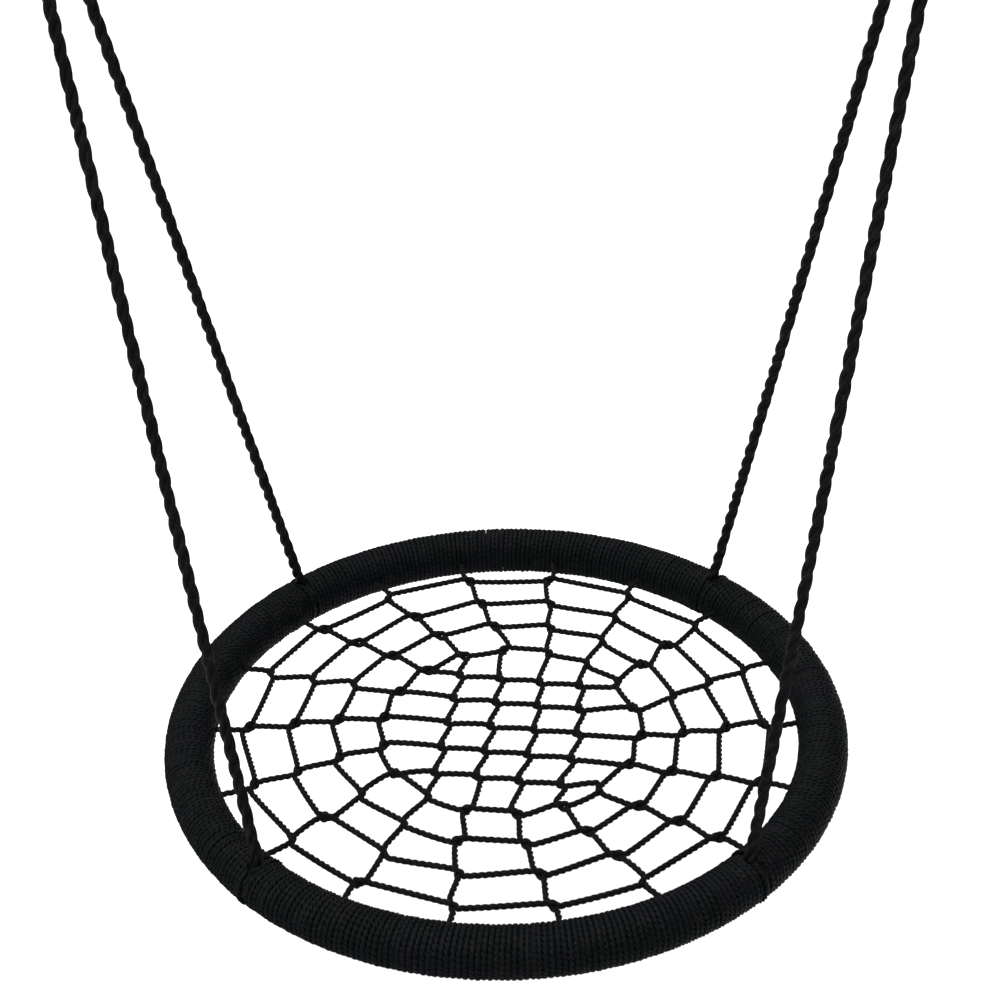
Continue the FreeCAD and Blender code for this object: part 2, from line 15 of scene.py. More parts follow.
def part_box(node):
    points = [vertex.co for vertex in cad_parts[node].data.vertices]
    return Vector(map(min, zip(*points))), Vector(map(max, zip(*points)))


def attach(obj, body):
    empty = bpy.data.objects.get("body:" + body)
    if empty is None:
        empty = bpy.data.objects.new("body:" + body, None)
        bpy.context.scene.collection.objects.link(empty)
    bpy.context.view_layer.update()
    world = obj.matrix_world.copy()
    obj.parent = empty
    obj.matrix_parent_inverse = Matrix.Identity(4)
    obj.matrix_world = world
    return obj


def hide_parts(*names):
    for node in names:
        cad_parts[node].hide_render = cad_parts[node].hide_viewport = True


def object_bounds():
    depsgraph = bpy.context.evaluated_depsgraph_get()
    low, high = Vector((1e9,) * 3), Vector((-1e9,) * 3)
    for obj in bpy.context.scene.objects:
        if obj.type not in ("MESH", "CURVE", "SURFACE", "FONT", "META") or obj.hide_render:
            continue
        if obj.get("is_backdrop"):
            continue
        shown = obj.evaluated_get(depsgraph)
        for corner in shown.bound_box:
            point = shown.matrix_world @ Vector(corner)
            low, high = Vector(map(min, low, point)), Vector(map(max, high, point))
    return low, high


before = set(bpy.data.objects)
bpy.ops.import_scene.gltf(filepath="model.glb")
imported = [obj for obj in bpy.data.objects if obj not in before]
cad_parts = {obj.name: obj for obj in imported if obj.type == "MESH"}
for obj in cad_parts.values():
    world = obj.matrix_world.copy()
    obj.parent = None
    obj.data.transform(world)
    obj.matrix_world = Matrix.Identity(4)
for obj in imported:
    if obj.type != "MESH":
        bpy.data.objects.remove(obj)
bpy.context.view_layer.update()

SIDES = (("left", -1), ("right", 1))
ENDS = (("front", -1), ("back", 1))
UP = np.array((0.0, 0.0, 1.0))

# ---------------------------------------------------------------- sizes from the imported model


def span(node):
    """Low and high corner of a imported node, as arrays."""
    low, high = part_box(node)
    return np.array(low), np.array(high)


def rim_sizes():
    """Rim radius, section radius and level, from the front winding's box."""
    low, high = span("rim_winding_front")
    level = (low[2] + high[2]) / 2
    section = (high[2] - low[2]) / 2
    return -low[1] - section, section, level


RIM_RADIUS, SECTION_RADIUS, RIM_LEVEL = rim_sizes()

# Radii of the ropes and of the hoop's tube, and of the turns that ropes take round that tube.
WINDING_ROPE = 0.0035
HANGING_ROPE = 0.008
NET_ROPE = 0.004
HOOP_RADIUS = 0.021
PRESSED_ROPE = 0.0062
PRESSED_LOOP_RADIUS = HOOP_RADIUS + PRESSED_ROPE + 0.0002
HITCH_RADIUS = HOOP_RADIUS + NET_ROPE + 0.0001

# The eye on the thimble, the gap between its legs, and the splice and twine below it.
EYE_BEND = 0.0243
EYE_DEPTH = 0.062
LEG_GAP = 0.0003
SPLICE_LENGTH = 0.095
SPLICE_SLIM = 0.0082
SPLICE_SWELL = (0.0074, 0.0028)
TWINE = 0.0009

# Each hanging rope's route: the crown of its loop on the hoop, a point on the way, and the
# throat of its eye, inside the splice. X takes the side's sign and Y the end's sign.
ROPE_FOOT = (0.32789, 0.32789, -1.5559)
ROPE_MIDDLE = (0.43360, 0.17856, -0.88490)
ROPE_THROAT = (0.53930, 0.02922, -0.21390)
ROPE_SWAY = (0.002, 0.003, 0.0)

# The length of one full twist of each rope, and how full its strands are drawn.
ROPE_LAY, PRESSED_LAY, NET_LAY, WINDING_LAY = 0.078, 0.045, 0.030, 0.0245
HANGING_FULLNESS, EYE_FULLNESS, NET_FULLNESS, WINDING_FULLNESS = 1.05, 0.985, 1.17, 1.03
SIDEWAYS_FULLNESS = 1.18
STRAND_ANGLE = math.radians(120)
HANGING_STRANDS = dict(per_strand=16, strand=0.54, yarns=7, yarn_depth=0.03)
PRESSED_STRANDS = dict(per_strand=16, strand=0.58, yarns=7, yarn_depth=0.03)
LAY_WAVER, THICKNESS_WAVER = 0.35, 0.022

# ---------------------------------------------------------------- lines and tubes


def unit(vector):
    """A vector of length one, or a row of them."""
    vector = np.asarray(vector, float)
    return vector / np.linalg.norm(vector, axis=-1, keepdims=True)


def polar(radius, degrees, level):
    """A point on a level circle round the middle of the rim."""
    angle = math.radians(degrees)
    return np.array((radius * math.cos(angle), radius * math.sin(angle), level))


def run_lengths(points):
    """Distance along a line of points, at each point."""
    steps = np.linalg.norm(np.diff(points, axis=0), axis=1)
    return np.concatenate(([0.0], np.cumsum(steps)))


def evenly(points, step):
    """The same line with its points a fixed step apart."""
    along = run_lengths(points)
    count = max(4, int(round(along[-1] / step)) + 1)
    places = np.linspace(0, along[-1], count)
    return np.stack([np.interp(places, along, points[:, axis]) for axis in range(3)], axis=1)


def nurbs_line(name, route, step):
    """Points read from the smooth NURBS spline that has the route as its control points."""
    curve = bpy.data.curves.new(name, "CURVE")
    curve.dimensions = "3D"
    curve.resolution_u = 48
    spline = curve.splines.new("NURBS")
    spline.points.add(len(route) - 1)
    for point, place in zip(spline.points, route):
        point.co = (*place, 1.0)
    spline.order_u = 3
    spline.use_endpoint_u = True
    holder = bpy.data.objects.new(name, curve)
    bpy.context.scene.collection.objects.link(holder)
    bpy.context.view_layer.update()
    mesh = bpy.data.meshes.new_from_object(holder)
    points = np.array([tuple(vertex.co) for vertex in mesh.vertices])
    bpy.data.meshes.remove(mesh)
    bpy.data.objects.remove(holder)
    bpy.data.curves.remove(curve)
    return evenly(points, step)


def through(points, step, closed=False):
    """A smooth line through every one of its points, sampled a fixed step apart."""
    points = np.asarray(points, float)
    if closed:
        padded = np.vstack((points[-1], points, points[0], points[1]))
    else:
        padded = np.vstack((2 * points[0] - points[1], points, 2 * points[-1] - points[-2]))
    samples = []
    for before, start, finish, after in zip(padded, padded[1:], padded[2:], padded[3:]):
        reach = np.linalg.norm(finish - start)
        leave = (finish - before) / max(np.linalg.norm(finish - before), 1e-9) * reach
        arrive = (after - start) / max(np.linalg.norm(after - start), 1e-9) * reach
        share = np.linspace(0, 1, 12, endpoint=False)[:, None]
        square, cube = share ** 2, share ** 3
        samples.append(
            (2 * cube - 3 * square + 1) * start + (cube - 2 * square + share) * leave
            + (3 * square - 2 * cube) * finish + (cube - square) * arrive)
    samples.append(points[:1] if closed else points[-1:])
    return evenly(np.vstack(samples), step)


def hoop_turn(degrees, radius, count):
    """A closed turn round the hoop's tube at one place of the rim, and the way along the rim."""
    outward = polar(1, degrees, 0)
    turns = np.linspace(0, 2 * math.pi, count, endpoint=False)[:, None]
    round_tube = np.cos(turns) * UP + np.sin(turns) * outward
    return polar(RIM_RADIUS, degrees, RIM_LEVEL) + radius * round_tube, np.cross(UP, outward)


def side_vectors(path, closed=False, hint=UP):
    """Two vectors square to the line at each point, carried along it without twist."""
    if closed:
        tangents = unit(np.roll(path, -1, axis=0) - np.roll(path, 1, axis=0))
    else:
        tangents = unit(np.gradient(path, axis=0))
    side = np.array(hint, float)
    if abs(side @ tangents[0]) > 0.95:
        side = np.array((1.0, 0.0, 0.0))
    sides = np.empty_like(path)
    for index, tangent in enumerate(tangents):
        side = unit(side - (side @ tangent) * tangent)
        sides[index] = side
    if closed:
        last = unit(sides[-1] - (sides[-1] @ tangents[0]) * tangents[0])
        gap = math.atan2(np.cross(last, sides[0]) @ tangents[0], last @ sides[0])
        turn = (gap * np.arange(len(path)) / len(path))[:, None]
        sides = sides * np.cos(turn) + np.cross(tangents, sides) * np.sin(turn)
    return sides, np.cross(tangents, sides)


def skin(name, tubes, closed=False):
    """One mesh of tubes. Each tube is its rings of points and the distance along it."""
    points, corners, sizes, uvs = [], [], [], []
    offset = 0
    for rings, along in tubes:
        count, around = rings.shape[:2]
        steps = count if closed else count - 1
        ring = np.arange(steps)[:, None]
        turn = np.arange(around)[None, :]
        following = (ring + 1) % count
        quads = np.stack((
            ring * around + turn, ring * around + (turn + 1) % around,
            following * around + (turn + 1) % around, following * around + turn), axis=-1)
        low, high = np.asarray(along)[ring], np.asarray(along)[following]
        if closed:
            high = np.where(following == 0, low + (along[1] - along[0]), high)
        left, right = turn / around, (turn + 1) / around
        corner_uv = np.stack([
            np.stack(np.broadcast_arrays(place, part), axis=-1)
            for place, part in ((low, left), (low, right), (high, right), (high, left))], axis=-2)
        points.append(rings.reshape(-1, 3))
        corners.append(quads.reshape(-1) + offset)
        sizes.append(np.full(steps * around, 4))
        uvs.append(corner_uv.reshape(-1, 2))
        offset += count * around
        if not closed:
            for end, order in ((0, -1), (count - 1, 1)):
                points.append(rings[end].mean(axis=0)[None])
                first = np.arange(around) + offset - (count * around) + end * around
                if end:
                    first = first - 1
                pair = np.stack((first, np.roll(first, -1)), axis=-1)[:, ::order]
                hub = np.full((around, 1), offset)
                corners.append(np.hstack((hub, pair)).reshape(-1))
                sizes.append(np.full(around, 3))
                uvs.append(np.full((around * 3, 2), (float(along[end]), 0.5)))
                offset += 1
    points, corners = np.vstack(points), np.concatenate(corners)
    sizes, uvs = np.concatenate(sizes), np.vstack(uvs)
    mesh = bpy.data.meshes.new(name)
    mesh.vertices.add(len(points))
    mesh.vertices.foreach_set("co", points.astype(np.float32).ravel())
    mesh.loops.add(len(corners))
    mesh.loops.foreach_set("vertex_index", corners.astype(np.int32))
    mesh.polygons.add(len(sizes))
    starts = np.concatenate(([0], np.cumsum(sizes)[:-1]))
    mesh.polygons.foreach_set("loop_start", starts.astype(np.int32))
    layer = mesh.uv_layers.new(name="RopeLay")
    layer.data.foreach_set("uv", uvs.astype(np.float32).ravel())
    mesh.update(calc_edges=True)
    mesh.validate()
    mesh.shade_smooth()
    piece = bpy.data.objects.new(name, mesh)
    bpy.context.scene.collection.objects.link(piece)
    return piece


def strand_outline(per_strand, strand=0.49):
    """Angle and radius of a three-strand rope's outline, for a rope of radius one.

    Also gives each point's own angle round its strand, which the yarns follow."""
    offset = 1 - strand
    local = (np.arange(per_strand) / per_strand - 0.5) * STRAND_ANGLE
    reach = np.sqrt(strand ** 2 - (offset * np.sin(local)) ** 2)
    radius = offset * np.cos(local) + reach
    own = np.arctan2(radius * np.sin(local), radius * np.cos(local) - offset)
    angle = np.concatenate([local + STRAND_ANGLE * index for index in range(3)])
    return angle, np.tile(radius, 3), np.tile(own, 3)


def uneven(draw, along, spacing, amount):
    """A slow random change along a line, the same on every run."""
    count = int(along[-1] / spacing) + 3
    values = np.array([draw.gauss(0, amount) for _ in range(count)])
    place = along / spacing
    low = place.astype(int)
    share = (1 - np.cos(math.pi * (place - low))) / 2
    return values[low] * (1 - share) + values[low + 1] * share


def laid_rope(path, radius, lay, per_strand=6, strand=0.49, yarns=0, yarn_depth=0.0,
              closed=False, start_turn=0.0, hint=UP, waver=None):
    """A three-strand rope along a line: its rings of points and the distance along it.

    lay is the length of one full twist, and strand is a strand's radius for a rope of radius one.
    waver is a random source for slow changes of the lay and the thickness."""
    sides, lifts = side_vectors(path, closed, hint)
    along = run_lengths(path)
    whole = along[-1] + (np.linalg.norm(path[0] - path[-1]) if closed else 0.0)
    turns = max(1, round(3 * whole / lay)) / 3 if closed else whole / lay
    twist = 2 * math.pi * turns * along / whole + start_turn
    if waver is not None:
        twist = twist + uneven(waver, along, lay * 0.7, LAY_WAVER)
    angle, outline, own = strand_outline(per_strand, strand)
    shape = np.tile(outline, (len(path), 1))
    if yarns:
        shape = shape + yarn_depth * np.cos(yarns * (own[None, :] + twist[:, None])) \
            * np.cos(own / 2)[None, :] ** 2
    if waver is not None:
        shape = shape * (1 + uneven(waver, along, lay * 0.3, THICKNESS_WAVER))[:, None]
    turned = angle[None, :] + twist[:, None]
    across = radius * shape * np.cos(turned)
    upward = radius * shape * np.sin(turned)
    rings = path[:, None, :] + across[..., None] * sides[:, None, :] \
        + upward[..., None] * lifts[:, None, :]
    return rings, along


# ---------------------------------------------------------------- shader groups


def new_group(name, inputs, outputs):
    """An empty shader group with its sockets, its input node and its output node."""
    group = bpy.data.node_groups.new(name, "ShaderNodeTree")
    for socket, kind, value in inputs:
        made = group.interface.new_socket(name=socket, in_out="INPUT", socket_type=kind)
        if value is not None:
            made.default_value = value
    for socket, kind in outputs:
        group.interface.new_socket(name=socket, in_out="OUTPUT", socket_type=kind)
    return group, group.nodes.new("NodeGroupInput"), group.nodes.new("NodeGroupOutput")


def feed(tree, value, socket):
    """Link an output to a socket, or set the socket to a plain value."""
    if isinstance(value, bpy.types.NodeSocket):
        tree.links.new(value, socket)
    elif value is not None:
        socket.default_value = value


def math_node(tree, operation, first, second=None):
    """A Math node fed by sockets or numbers. Gives its output."""
    node = tree.nodes.new("ShaderNodeMath")
    node.operation = operation
    feed(tree, first, node.inputs[0])
    feed(tree, second, node.inputs[1])
    return node.outputs[0]


def noise_node(tree, vector, scale, detail=3.0, rough=0.55):
    """A noise texture over a vector. Gives its value output."""
    node = tree.nodes.new("ShaderNodeTexNoise")
    for socket, value in (("Detail", detail), ("Roughness", rough), ("Scale", scale),
                          ("Vector", vector)):
        feed(tree, value, node.inputs[socket])
    return node.outputs["Fac"]


def ramp_node(tree, value, low, high, to_low=0.0, to_high=1.0):
    """A value's range from low to high, stretched to a new range. Gives its output."""
    node = tree.nodes.new("ShaderNodeMapRange")
    for socket, given in (("Value", value), ("From Min", low), ("From Max", high),
                          ("To Min", to_low), ("To Max", to_high)):
        feed(tree, given, node.inputs[socket])
    return node.outputs[0]


def mix_colours(tree, factor, first, second, blend="MIX"):
    """Two colours mixed by a factor. Gives the mixed colour."""
    node = tree.nodes.new("ShaderNodeMix")
    node.data_type = "RGBA"
    node.blend_type = blend
    for socket, value in (("Factor", factor), ("A", first), ("B", second)):
        feed(tree, value, node.inputs[socket])
    return node.outputs["Result"]


def cell_node(tree, vector, scale):
    """A texture of small cells over a vector."""
    node = tree.nodes.new("ShaderNodeTexVoronoi")
    node.inputs["Scale"].default_value = scale
    tree.links.new(vector, node.inputs["Vector"])
    return node


def object_place(tree):
    """Where on the object a point lies."""
    return tree.nodes.new("ShaderNodeTexCoord").outputs["Object"]


FLOAT, VECTOR, COLOUR = "NodeSocketFloat", "NodeSocketVector", "NodeSocketColor"


def yarn_group():
    """Fine yarns that run slantwise over a strand, with stray fibres between them, and a mask for
    painted shade between the yarns.
    """
    group, given, result = new_group(
        "yarn_lines",
        [("Lay", VECTOR, None), ("Along", FLOAT, 100.0), ("Around", FLOAT, 12.0),
         ("Fibre", FLOAT, 0.4)],
        [("Height", FLOAT), ("Groove", FLOAT)])
    split = group.nodes.new("ShaderNodeSeparateXYZ")
    group.links.new(given.outputs["Lay"], split.inputs[0])
    along = math_node(group, "MULTIPLY", split.outputs["X"], given.outputs["Along"])
    around = math_node(group, "MULTIPLY", split.outputs["Y"], given.outputs["Around"])
    half_turns = math_node(group, "MULTIPLY", math_node(group, "ADD", along, around), math.pi)
    wave = math_node(group, "ABSOLUTE", math_node(group, "SINE", half_turns))
    stretched = group.nodes.new("ShaderNodeCombineXYZ")
    group.links.new(math_node(group, "MULTIPLY", along, 0.35), stretched.inputs[0])
    group.links.new(math_node(group, "MULTIPLY", around, 2.0), stretched.inputs[1])
    fibre = noise_node(group, stretched.outputs[0], 3.0, 4.0, 0.6)
    stray = math_node(group, "MULTIPLY", fibre, given.outputs["Fibre"])
    group.links.new(math_node(group, "ADD", wave, stray), result.inputs["Height"])
    # Mask for painted shade: highest where the yarns meet.
    group.links.new(math_node(group, "SUBTRACT", 1.0, wave), result.inputs["Groove"])
    return group


def tone_group():
    """Slow changes of tone between three colours, as in a dyed rope that has been outdoors."""
    group, given, result = new_group(
        "tone_drift",
        [("Scale", FLOAT, 9.0), ("Flecks", FLOAT, 0.0), ("First", COLOUR, (0.01, 0.01, 0.01, 1)),
         ("Second", COLOUR, (0.02, 0.02, 0.02, 1)), ("Third", COLOUR, (0.01, 0.02, 0.02, 1))],
        [("Color", COLOUR), ("Tone", FLOAT)])
    where = object_place(group)
    scale = given.outputs["Scale"]
    coarse = noise_node(group, where, scale, 2.0)
    finer = noise_node(group, where, math_node(group, "MULTIPLY", scale, 7.0), 3.0)
    fleck = noise_node(group, where, math_node(group, "MULTIPLY", scale, 45.0), 2.0)
    drifting = mix_colours(group, ramp_node(group, coarse, 0.38, 0.64),
                           given.outputs["First"], given.outputs["Second"])
    spotted = mix_colours(group, ramp_node(group, finer, 0.5, 0.72),
                          drifting, given.outputs["Third"])
    sparse = math_node(group, "SUBTRACT", ramp_node(group, fleck, 0.4, 0.68, 0.6, 2.2), 1.0)
    brighter = math_node(group, "MULTIPLY", sparse, given.outputs["Flecks"])
    flecked = group.nodes.new("ShaderNodeVectorMath")
    flecked.operation = "MULTIPLY"
    group.links.new(spotted, flecked.inputs[0])
    group.links.new(math_node(group, "ADD", 1.0, brighter), flecked.inputs[1])
    group.links.new(flecked.outputs[0], result.inputs["Color"])
    group.links.new(coarse, result.inputs["Tone"])
    return group


def cover(group, given, result, mask, colour):
    """Lay one of the group's colours over its Color by a mask, and give out both."""
    covered = mix_colours(group, mask, given.outputs["Color"], given.outputs[colour])
    group.links.new(covered, result.inputs["Color"])
    group.links.new(mask, result.inputs["Mask"])


def dust_group():
    """Pale dust that settles on faces that look up, broken up by noise."""
    group, given, result = new_group(
        "settled_dust",
        [("Color", COLOUR, (0.1, 0.1, 0.1, 1)), ("Dust", COLOUR, (0.2, 0.19, 0.17, 1)),
         ("Amount", FLOAT, 0.1)],
        [("Color", COLOUR), ("Mask", FLOAT)])
    split = group.nodes.new("ShaderNodeSeparateXYZ")
    normal = group.nodes.new("ShaderNodeNewGeometry").outputs["Normal"]
    group.links.new(normal, split.inputs[0])
    upward = math_node(group, "MAXIMUM", split.outputs["Z"], 0.0)
    patches = noise_node(group, object_place(group), 55.0, 5.0, 0.65)
    settled = math_node(group, "MULTIPLY", upward, patches)
    mask = math_node(group, "MULTIPLY", settled, given.outputs["Amount"])
    cover(group, given, result, mask, "Dust")
    return group


def wear_group():
    """Rubbed edges: brighter and smoother where the form is sharpest."""
    group, given, result = new_group(
        "rubbed_edges",
        [("Color", COLOUR, (0.5, 0.5, 0.5, 1)), ("Bare", COLOUR, (0.48, 0.48, 0.49, 1)),
         ("Amount", FLOAT, 0.6)],
        [("Color", COLOUR), ("Mask", FLOAT)])
    sharpness = group.nodes.new("ShaderNodeNewGeometry").outputs["Pointiness"]
    edges = ramp_node(group, sharpness, 0.51, 0.6)
    broken = noise_node(group, object_place(group), 320.0, 4.0, 0.6)
    rubbed = math_node(group, "MULTIPLY", edges, broken)
    mask = math_node(group, "MULTIPLY", rubbed, given.outputs["Amount"])
    cover(group, given, result, mask, "Bare")
    return group


YARN_LINES = yarn_group()
TONE_DRIFT = tone_group()
SETTLED_DUST = dust_group()
RUBBED_EDGES = wear_group()

# ---------------------------------------------------------------- materials


def new_material(name, **values):
    """A material with a Principled shader whose plain values are set on its sockets."""
    material = bpy.data.materials.new(name)
    material.use_nodes = True
    shader = material.node_tree.nodes["Principled BSDF"]
    for socket, value in values.items():
        shader.inputs[socket.replace("_", " ")].default_value = value
    return material, material.node_tree, shader


def place_group(tree, group, **values):
    """A node that holds a shader group, with its own values."""
    node = tree.nodes.new("ShaderNodeGroup")
    node.node_tree = group
    for socket, value in values.items():
        feed(tree, value, node.inputs[socket])
    return node


def bump(tree, shader, height, strength, distance):
    """Bump from a height, straight into the shader's normal."""
    node = tree.nodes.new("ShaderNodeBump")
    node.inputs["Strength"].default_value = strength
    node.inputs["Distance"].default_value = distance
    tree.links.new(height, node.inputs["Height"])
    tree.links.new(node.outputs[0], shader.inputs["Normal"])


ROPE_SHINE = 0.038
# Painted shade: the base colour is multiplied by this between the yarns, where shade would fall.
PAINTED_GROOVE_SHADE = (0.25, 0.25, 0.27, 1)


def rope_material(name, tones, along, around, depth, dust, roughness, tone_scale):
    """Spun rope: slanted yarns, three drifting tones, painted shade between the yarns and a little
    dust.
    """
    material, tree, shader = new_material(name, Specular_IOR_Level=ROPE_SHINE)
    lay = tree.nodes.new("ShaderNodeUVMap")
    lay.uv_map = "RopeLay"
    yarns = place_group(tree, YARN_LINES, Lay=lay.outputs[0], Along=along, Around=around)
    tone = place_group(tree, TONE_DRIFT, Scale=tone_scale, Flecks=1.0,
                       First=tones[0], Second=tones[1], Third=tones[2])
    # Painted shade: the base colour is darkened between the yarns.
    painted_groove_shade = math_node(tree, "MULTIPLY", yarns.outputs["Groove"], 0.75)
    shaded = mix_colours(tree, painted_groove_shade, tone.outputs["Color"], PAINTED_GROOVE_SHADE, "MULTIPLY")
    dusty = place_group(tree, SETTLED_DUST, Color=shaded, Amount=dust)
    tree.links.new(dusty.outputs["Color"], shader.inputs["Base Color"])
    uneven_sheen = math_node(tree, "MULTIPLY", tone.outputs["Tone"], 0.22)
    tree.links.new(math_node(tree, "ADD", uneven_sheen, roughness - 0.11),
                   shader.inputs["Roughness"])
    bump(tree, shader, yarns.outputs["Height"], 0.8, depth)
    return material


def metal_material(name, first, second, roughness, grain, wear, spangle=0.0):
    """Bare or coated metal: drifting tone, fine grain, rubbed edges and light dust."""
    material, tree, shader = new_material(name, Metallic=1.0)
    where = object_place(tree)
    if spangle:
        factor = cell_node(tree, where, spangle).outputs["Color"]
    else:
        factor = noise_node(tree, where, 60.0, 4.0)
    worn = place_group(tree, RUBBED_EDGES, Color=mix_colours(tree, factor, first, second),
                       Amount=wear)
    dusty = place_group(tree, SETTLED_DUST, Color=worn.outputs["Color"], Amount=0.12)
    tree.links.new(dusty.outputs["Color"], shader.inputs["Base Color"])
    fine = noise_node(tree, where, grain, 5.0, 0.65)
    rough = math_node(tree, "ADD", math_node(tree, "MULTIPLY", fine, 0.25), roughness - 0.12)
    polish = math_node(tree, "MULTIPLY", worn.outputs["Mask"], 0.1)
    tree.links.new(math_node(tree, "SUBTRACT", rough, polish), shader.inputs["Roughness"])
    bump(tree, shader, fine, 0.2, 0.0001)
    return material


def foam_material():
    """Closed-cell padding: a dark matt skin with fine cells."""
    material, tree, shader = new_material("foam_padding", Specular_IOR_Level=0.3)
    tone = place_group(tree, TONE_DRIFT, Scale=14.0, First=(0.03, 0.031, 0.033, 1),
                       Second=(0.045, 0.046, 0.048, 1), Third=(0.025, 0.025, 0.027, 1))
    dusty = place_group(tree, SETTLED_DUST, Color=tone.outputs["Color"], Amount=0.1)
    tree.links.new(dusty.outputs["Color"], shader.inputs["Base Color"])
    cells = cell_node(tree, object_place(tree), 900.0).outputs["Distance"]
    rough = math_node(tree, "ADD", math_node(tree, "MULTIPLY", cells, 0.2), 0.75)
    tree.links.new(rough, shader.inputs["Roughness"])
    bump(tree, shader, cells, 0.5, 0.0004)
    return material


WINDING_FINISH = rope_material(
    "black_winding_rope",
    ((0.0018, 0.0026, 0.0042, 1), (0.0019, 0.0034, 0.0028, 1), (0.0056, 0.0056, 0.0062, 1)),
    along=120.0, around=9.0, depth=0.0005, dust=0.03, roughness=0.46, tone_scale=7.0)
HANGING_FINISH = rope_material(
    "black_hanging_rope",
    ((0.0025, 0.0027, 0.0034, 1), (0.0040, 0.0043, 0.0046, 1), (0.0090, 0.0088, 0.0090, 1)),
    along=75.0, around=24.0, depth=0.0006, dust=0.03, roughness=0.52, tone_scale=12.0)
NET_FINISH = rope_material(
    "black_net_rope",
    ((0.0018, 0.0020, 0.0026, 1), (0.0028, 0.0030, 0.0034, 1), (0.0055, 0.0055, 0.0058, 1)),
    along=130.0, around=12.0, depth=0.0004, dust=0.02, roughness=0.52, tone_scale=16.0)
TWINE_FINISH = rope_material(
    "black_whipping_twine",
    ((0.0110, 0.0115, 0.0125, 1), (0.0160, 0.0165, 0.0175, 1), (0.0240, 0.0240, 0.0240, 1)),
    along=400.0, around=3.0, depth=0.0002, dust=0.06, roughness=0.58, tone_scale=20.0)
GALVANISED = metal_material(
    "galvanised_steel", (0.20, 0.205, 0.21, 1), (0.34, 0.345, 0.35, 1),
    roughness=0.42, grain=500.0, wear=0.35, spangle=260.0)
STAINLESS = metal_material(
    "stainless_steel", (0.26, 0.255, 0.25, 1), (0.36, 0.355, 0.35, 1),
    roughness=0.28, grain=900.0, wear=0.3)
HOOP_STEEL = metal_material(
    "hoop_steel", (0.22, 0.225, 0.23, 1), (0.34, 0.345, 0.35, 1),
    roughness=0.45, grain=400.0, wear=0.3, spangle=120.0)
SPRING_STEEL = metal_material(
    "spring_steel", (0.16, 0.16, 0.165, 1), (0.24, 0.24, 0.245, 1),
    roughness=0.3, grain=900.0, wear=0.25)
FOAM = foam_material()


def finish_piece(piece, material, slot_name, body, *nodes):
    """Give a new piece its material, its body and the nodes it stands for. slot_name is not used."""
    piece.data.materials.clear()
    piece.data.materials.append(material)
    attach(piece, body)
    if nodes:
        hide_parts(*nodes)
    return piece


# ---------------------------------------------------------------- camera


CAMERA_PLACE = (0.0554, -2.4365, 0.3690)
CAMERA_TURN, CAMERA_PITCH, CAMERA_ROLL = 1.29, 32.6, -1.536
CAMERA_LENS = 75.836


def camera():
    """The viewing angle: from the front and above, leaning a little to the left."""
    turn, pitch, roll = (math.radians(angle) for angle in (CAMERA_TURN, CAMERA_PITCH, CAMERA_ROLL))
    forward = Vector((-math.sin(turn) * math.cos(pitch), math.cos(turn) * math.cos(pitch),
                      -math.sin(pitch)))
    level = Vector((math.cos(turn), math.sin(turn), 0))
    above = level.cross(forward)
    right = level * math.cos(roll) + above * math.sin(roll)
    upward = above * math.cos(roll) - level * math.sin(roll)
    view = Matrix((right, upward, -forward)).transposed().to_4x4()
    view.translation = CAMERA_PLACE
    data = bpy.data.cameras.new("camera")
    data.sensor_width = 36.0
    data.lens = CAMERA_LENS
    data.clip_end = 100.0
    made = bpy.data.objects.new("camera", data)
    bpy.context.scene.collection.objects.link(made)
    made.matrix_world = view
    bpy.context.scene.camera = made


camera()

# ---------------------------------------------------------------- hanging ropes


def mirrored(point, side, end):
    """A route point for one side and one end of the swing."""
    return np.array((point[0] * side, point[1] * end, point[2]))


def eye_frame(tag, side, end):
    """The thimble's middle, the rope's direction down from it, and the way across the eye."""
    low, high = span(f"thimble_{tag}")
    centre = (low + high) / 2
    down = unit(mirrored(ROPE_FOOT, side, end) - centre)
    bore = unit(np.array((0.0, 1.0, 0.0)) - down * down[1])
    return centre, down, np.cross(bore, -down)


def hanging_rope(tag, side, end):
    """The taut rope from its loop on the hoop up to its splice."""
    foot, middle, throat, sway = (
        mirrored(point, side, end) for point in (ROPE_FOOT, ROPE_MIDDLE, ROPE_THROAT, ROPE_SWAY))
    path = nurbs_line(f"route_{tag}", [foot, middle + sway, throat], 0.0021)
    tube = laid_rope(path, HANGING_ROPE * HANGING_FULLNESS, ROPE_LAY,
                     start_turn=1.7 * side + 0.9 * end, waver=random.Random(11 + side + 2 * end),
                     **HANGING_STRANDS)
    piece = skin(f"hanging_rope_run_{tag}", [tube])
    finish_piece(piece, HANGING_FINISH, "black_hanging_rope", "seat", f"hanging_rope_{tag}")
    return piece, path


def rope_loop(tag, side, end):
    """The turn of rope round the bare hoop that carries the rim, pressed slim by the winding."""
    degrees = math.degrees(math.atan2(end, side))
    path, along_rim = hoop_turn(degrees, PRESSED_LOOP_RADIUS, 90)
    tube = laid_rope(path, PRESSED_ROPE, PRESSED_LAY, closed=True, hint=along_rim, **PRESSED_STRANDS)
    piece = skin(f"hoop_loop_{tag}", [tube], closed=True)
    return finish_piece(piece, HANGING_FINISH, "black_hanging_rope", "seat", f"rim_loop_{tag}")


def twine_band(centre, axis, across, middle, length, wide, thick):
    """Tight turns of twine round an oval: one tube."""
    other = np.cross(axis, across)
    turns = length / (2 * TWINE * 1.02)
    share = np.linspace(0, 1, int(turns * 36))
    angle = 2 * math.pi * turns * share
    path = centre + (middle + (share - 0.5) * length)[:, None] * axis \
        + (wide * np.cos(angle))[:, None] * across + (thick * np.sin(angle))[:, None] * other
    sides, lifts = side_vectors(path, hint=axis)
    around = np.arange(7) / 7 * 2 * math.pi
    rings = path[:, None, :] + TWINE * (np.cos(around)[None, :, None] * sides[:, None, :]
                                        + np.sin(around)[None, :, None] * lifts[:, None, :])
    return rings, run_lengths(path)


